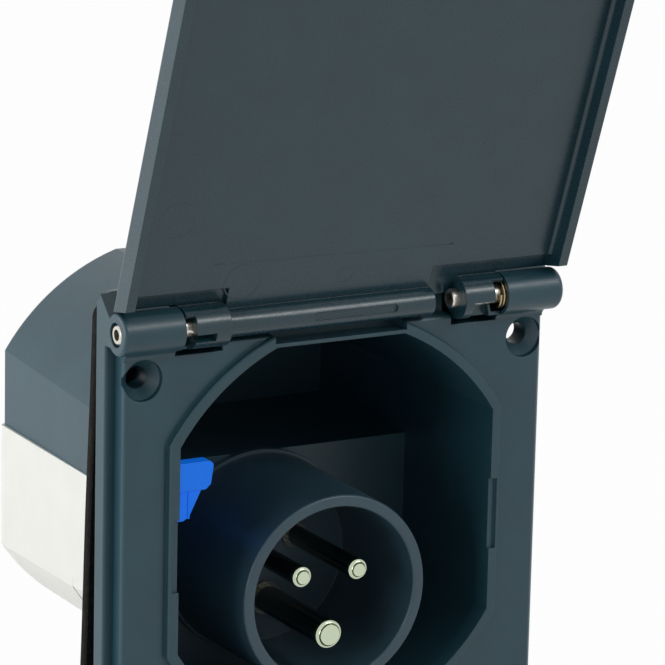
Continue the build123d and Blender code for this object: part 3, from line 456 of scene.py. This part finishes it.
def flat_gasket(thickness):
    """Mesh of the foam sheet lying flat, with its arched hole and four screw holes."""
    hole_x, hole_z, hole_radius = 55.3, 43.7, 3.2
    curve = bpy.data.curves.new("gasket_outline", "CURVE")
    curve.dimensions = "2D"
    curve.fill_mode = "BOTH"
    curve.extrude = thickness / 2
    loops = [gasket_outline(), body_hole()]
    loops += [arc_points(x, z, hole_radius) for x in (-hole_x, hole_x) for z in (-hole_z, hole_z)]
    for loop in loops:
        spline = curve.splines.new("POLY")
        spline.points.add(len(loop) - 1)
        for point, (x, z) in zip(spline.points, loop):
            point.co = (x * MM, z * MM, 0.0, 1.0)
        spline.use_cyclic_u = True
    flat = bpy.data.objects.new("gasket_flat", curve)
    bpy.context.scene.collection.objects.link(flat)
    bpy.context.view_layer.update()
    sheet = bpy.data.meshes.new_from_object(flat.evaluated_get(bpy.context.evaluated_depsgraph_get()))
    bpy.data.objects.remove(flat)
    bpy.data.curves.remove(curve)
    return sheet


def make_gasket():
    """The foam sheet: it lies on the flange at the top and hangs away from it further down."""
    thickness, rows = GASKET_HIGH.y - GASKET_LOW.y, 28
    bend_top, slope = 60 * MM, 0.058
    ripple, ripple_pace, ripple_phase, ripple_fade = 0.15 * MM, 95, 0.6, 20 * MM
    sheet = flat_gasket(thickness)

    def build(grid):
        grid.from_mesh(sheet)
        for vertex in grid.verts:
            x, z, y = vertex.co
            vertex.co = (x, -thickness / 2 - y, z)
        bmesh.ops.remove_doubles(grid, verts=grid.verts, dist=0.01 * MM)
        for row in range(1, rows):
            height = GASKET_LOW.z + (GASKET_HIGH.z - GASKET_LOW.z) * row / rows
            parts = list(grid.verts) + list(grid.edges) + list(grid.faces)
            bmesh.ops.bisect_plane(grid, geom=parts, plane_co=(0, 0, height), plane_no=(0, 0, 1))
        for vertex in grid.verts:
            below = max(0.0, bend_top - vertex.co.z)
            wave = ripple * math.sin(vertex.co.z * ripple_pace + ripple_phase)
            vertex.co.y += slope * below + wave * min(1.0, below / ripple_fade)

    gasket = mesh_piece("foam_gasket", build)
    bpy.data.meshes.remove(sheet)
    dress(gasket, materials["foam"])
    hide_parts("wall_gasket")
    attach(gasket, "housing")


def join_rows(grid, first, second, closed=True):
    """Faces between two rows of vertices; closed joins the ends of the rows as well."""
    count = len(first)
    for index in range(count if closed else count - 1):
        following = (index + 1) % count
        grid.faces.new((first[index], first[following], second[following], second[index]))


def make_flange_edge():
    """Square edge of the flange at its sides and bottom, over the bevel that the solid has there."""
    half, low, top, corner, corner_steps = 60.0, -60.0, 53.38, 3.5, 8
    bevel_y, front_y, nose, nose_inset = -5.0, -7.9, 0.5, 0.5 * 0.29
    profile = [  # inset from the flange's edge, y
        (0.0, bevel_y), (0.0, front_y + nose), (nose_inset, front_y + nose_inset), (nose, front_y),
        (2.9, front_y), (2.4, bevel_y - 0.6),
    ]
    path = [((-half, top), (1, 0)), ((-half, low + corner), (1, 0))]  # point, direction inwards
    for centre_x, start in ((-half + corner, 180), (half - corner, 270)):
        for step in range(1, corner_steps + 1):
            turn = math.radians(start + 90 * step / corner_steps)
            out_x, out_z = math.cos(turn), math.sin(turn)
            path.append(((centre_x + corner * out_x, low + corner + corner * out_z), (-out_x, -out_z)))
        if start == 180:
            path.append(((half - corner, low), (0, 1)))
    path.append(((half, top), (-1, 0)))

    def build(grid):
        rows = []
        for (x, z), (in_x, in_z) in path:
            rows.append([grid.verts.new(((x + in_x * inset) * MM, y * MM, (z + in_z * inset) * MM))
                         for inset, y in profile])
        for first, second in zip(rows, rows[1:]):
            join_rows(grid, first, second)
        grid.faces.new(rows[0])
        grid.faces.new(rows[-1])

    edge = mesh_piece("flange_edge", build)
    dress(edge, materials["anthracite"])
    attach(edge, "housing")


def make_cover_skirt():
    """Lower front ends of the white cover's cheeks, from under the cheek to the round bottom."""
    front_y, rear_y = 20.35, 31.8
    side_x, inner_x, under = 49.2, 45.9, 0.04
    taper, taper_start, taper_length = 0.9, 20.0, 56.0
    top_z, turn_z, arc_drop, arc_steps = -15.0, -18.2, 4.3, 7
    arc_radius, arc_z = 58.44, 13.34

    def section(y):
        """Outline across the cover at a depth: flat side, then the round bottom."""
        outer_x = side_x - taper * (y - taper_start) / taper_length - under
        points = [(inner_x, top_z), (outer_x, top_z), (outer_x, turn_z)]
        for step in range(1, arc_steps + 1):
            z = turn_z - arc_drop * step / arc_steps
            points.append((math.sqrt(arc_radius ** 2 - (z - arc_z) ** 2) - (side_x - outer_x), z))
        points.append((inner_x, points[-1][1]))
        return points

    def build(grid):
        for side in (-1, 1):
            front, rear = [[grid.verts.new((side * x * MM, y * MM, z * MM)) for x, z in section(y)]
                           for y in (front_y, rear_y)]
            join_rows(grid, front, rear)
            grid.faces.new(front)
            grid.faces.new(rear)

    skirt = mesh_piece("cover_skirt", build)
    dress(skirt, materials["white"])
    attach(skirt, "housing")


def on_lid(x, along, proud):
    """Point over the lid's inner face, in metres, from millimetres across, along and proud of it."""
    base = Vector((x * MM, HINGE.y, HINGE.z))
    return base + LID_ALONG * along * MM + LID_OUT * (LID_FACE + proud * MM)


def ridge(grid, points, width, height, closed=False):
    """Low rounded ridge on the lid's inner face along points, all in millimetres."""
    shoulder = height * 0.8
    profile = ((-0.5, RIDGE_FOOT), (-0.3, shoulder), (0.0, height), (0.3, shoulder), (0.5, RIDGE_FOOT))
    count = len(points)
    rows = []
    for index, (x, along) in enumerate(points):
        before = points[index - 1] if closed or index else points[index]
        after = points[(index + 1) % count] if closed or index < count - 1 else points[index]
        run_x, run_along = after[0] - before[0], after[1] - before[1]
        length = math.hypot(run_x, run_along)
        side_x, side_along = -run_along / length * width, run_x / length * width
        rows.append([grid.verts.new(on_lid(x + side_x * share, along + side_along * share, proud))
                     for share, proud in profile])
    for first, second in zip(rows, rows[1:] + rows[:1] if closed else rows[1:]):
        join_rows(grid, first, second, closed=False)
    if not closed:
        grid.faces.new(rows[0])
        grid.faces.new(rows[-1])


def make_lid_marks():
    """Rims of the ejector pins and the faint step line left by the mould."""
    line = [tuple(start + run * step / STEP_LINE_PARTS for start, run in zip(STEP_LINE_START, STEP_LINE_RUN))
            for step in range(STEP_LINE_PARTS + 1)]

    def build(grid):
        for x, along, radius in EJECTOR_RIMS:
            ridge(grid, arc_points(x, along, radius, steps=48), 0.35, 0.065, closed=True)
        ridge(grid, line, 0.5, 0.06)

    marks = mesh_piece("lid_mould_marks", build)
    for face in marks.data.polygons:
        face.use_smooth = True
    dress(marks, materials["polished_shaded"])
    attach(marks, "lid")


for name, finish in finishes.items():
    dress(nodes[name], materials[finish])
bpy.context.scene.view_settings.view_transform = "Standard"
make_stage()
make_world()
make_lights()
make_camera()
make_gasket()
make_flange_edge()
make_cover_skirt()
make_lid_marks()
